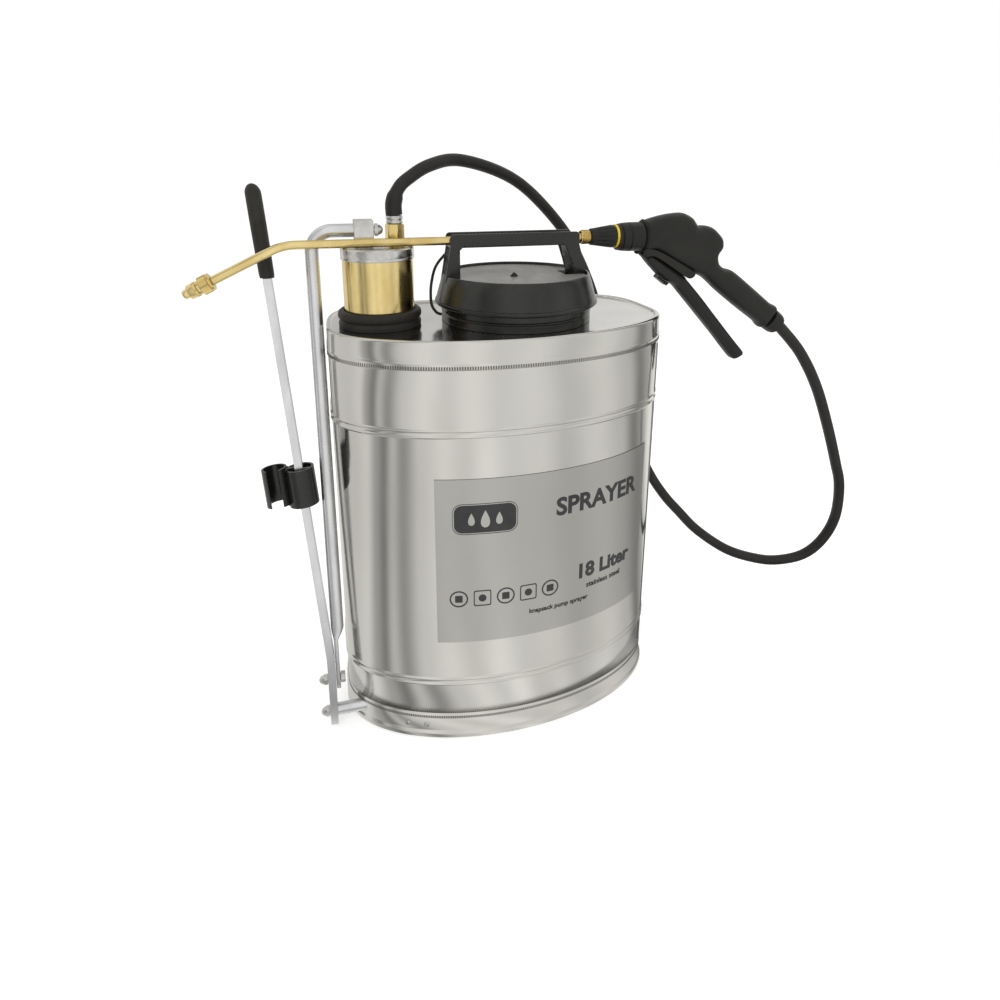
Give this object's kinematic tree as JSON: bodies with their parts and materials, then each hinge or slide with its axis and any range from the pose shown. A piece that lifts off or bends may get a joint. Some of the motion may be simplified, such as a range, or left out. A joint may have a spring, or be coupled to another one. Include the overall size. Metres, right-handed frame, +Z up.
{
  "type": "knapsack sprayer",
  "caption": "Knapsack hand sprayer with an oval stainless tank, side lever, sliding brass air chamber, filler lid with handle, hose and trigger lance.",
  "frame": {"origin": "centre of the bounding box footprint, on the ground under the tank, hose left out", "axes": "+X towards the spray gun end, +Y towards the side worn on the back, +Z up"},
  "size_m": [0.759, 0.2259, 0.5697],
  "materials": {
    "stainless": "polished stainless sheet",
    "galvanised": "zinc plated bar",
    "brass": "polished brass",
    "bright_steel": "plated steel",
    "black_plastic": "black moulding",
    "gun_plastic": "black moulding",
    "grey_plastic": "grey moulding",
    "rubber": "black rubber",
    "hose_rubber": "black hose rubber",
    "yellow_plastic": "yellow ring",
    "label": "printed satin foil",
    "filter_plastic": "white moulding"
  },
  "bodies": {
    "tank": {"tank_wall": "stainless", "tank_top": "stainless", "tank_bottom": "stainless", "front_label": "label", "axle_tube": "galvanised", "axle_bolt": "bright_steel", "axle_nut": "bright_steel", "axle_bracket": "galvanised", "rivet_1": "bright_steel", "rivet_2": "bright_steel", "pump_collar": "rubber", "pump_barrel": "brass", "barrel_guide": "brass", "foot_valve": "brass", "valve_ball": "bright_steel", "filler_neck": "black_plastic", "filter_basket": "filter_plastic", "hose_pump_length": "hose_rubber", "hose_middle_length": "hose_rubber", "hose_gun_length": "hose_rubber", "lid_cord": "rubber"},
    "pump": {"air_chamber": "brass", "chamber_cap": "bright_steel", "link_bracket": "bright_steel", "hose_fitting": "brass", "hose_ferrule": "bright_steel", "riser_tube": "brass", "piston_tube": "brass", "piston": "brass", "piston_seal": "rubber"},
    "rod": {"link_rod": "galvanised", "link_bolt": "bright_steel", "rod_nut": "bright_steel"},
    "lever": {"lever_bar": "galvanised", "lever_grip": "rubber", "lance_clip": "black_plastic", "link_nut": "bright_steel"},
    "lid": {"lid_shell": "black_plastic", "lid_disc": "grey_plastic", "breather_valve": "rubber", "lid_seal": "rubber"},
    "gun": {"lance_tube": "brass", "nozzle_union": "brass", "lance_fitting": "brass", "gun_shell_front": "gun_plastic", "gun_shell_back": "gun_plastic", "handle_tube": "brass", "valve_body": "brass", "trigger_pin": "bright_steel", "gun_end_cap": "gun_plastic", "marker_ring": "yellow_plastic", "gun_collar": "gun_plastic"},
    "nozzle": {"nozzle_cap": "brass", "nozzle_tip": "brass"},
    "lance_swivel": {"lance_nut": "gun_plastic"},
    "trigger": {"trigger": "gun_plastic"},
    "trigger_lock": {"lock_slider": "black_plastic"}
  },
  "joints": [
    {"name": "lever_hinge", "type": "hinge", "parent": "tank", "child": "lever", "pos_m": [-0.20575, -0.041, 0.0158], "axis": [-1, 0, 0], "range_deg": [0, 80]},
    {"name": "pump_slide", "type": "slide", "parent": "tank", "child": "pump", "axis": [0, 0, -1], "range_m": [0, 0.032], "deforming": ["hose_pump_length"]},
    {"name": "rod_hinge", "type": "hinge", "parent": "pump", "child": "rod", "pos_m": [-0.1492, 0.0105, 0.4997], "axis": [1, 0, 0], "range_deg": [0, 5]},
    {"name": "lid_lift", "type": "slide", "parent": "tank", "child": "lid", "axis": [0, 0, 1], "range_m": [0, 0.045], "deforming": ["hose_middle_length", "lid_cord"]},
    {"name": "gun_lift", "type": "slide", "parent": "lid", "child": "gun", "axis": [0, 0, 1], "range_m": [0, 0.06], "deforming": ["hose_gun_length"]},
    {"name": "nozzle_turn", "type": "hinge", "parent": "gun", "child": "nozzle", "pos_m": [-0.28288, -0.0057, 0.45984], "axis": [-0.9003, 0, -0.4352], "continuous": true},
    {"name": "lance_nut_turn", "type": "hinge", "parent": "gun", "child": "lance_swivel", "pos_m": [0.0793, -0.0057, 0.4892], "axis": [1, 0, 0], "continuous": true},
    {"name": "trigger_squeeze", "type": "hinge", "parent": "gun", "child": "trigger", "pos_m": [0.1378, -0.0057, 0.4772], "axis": [0, -1, 0], "range_deg": [0, 6], "stiffness_Nm_per_rad": 1.5, "springref_deg": -20.05},
    {"name": "lock_slide", "type": "slide", "parent": "trigger", "child": "trigger_lock", "axis": [-0.8, 0, 0.6], "range_m": [0, 0.004]}
  ],
  "couplings": [
    {"joint": "pump_slide", "follows": "lever_hinge", "m_per_rad": 0.021987},
    {"joint": "rod_hinge", "follows": "lever_hinge", "ratio": 0.049375}
  ]
}
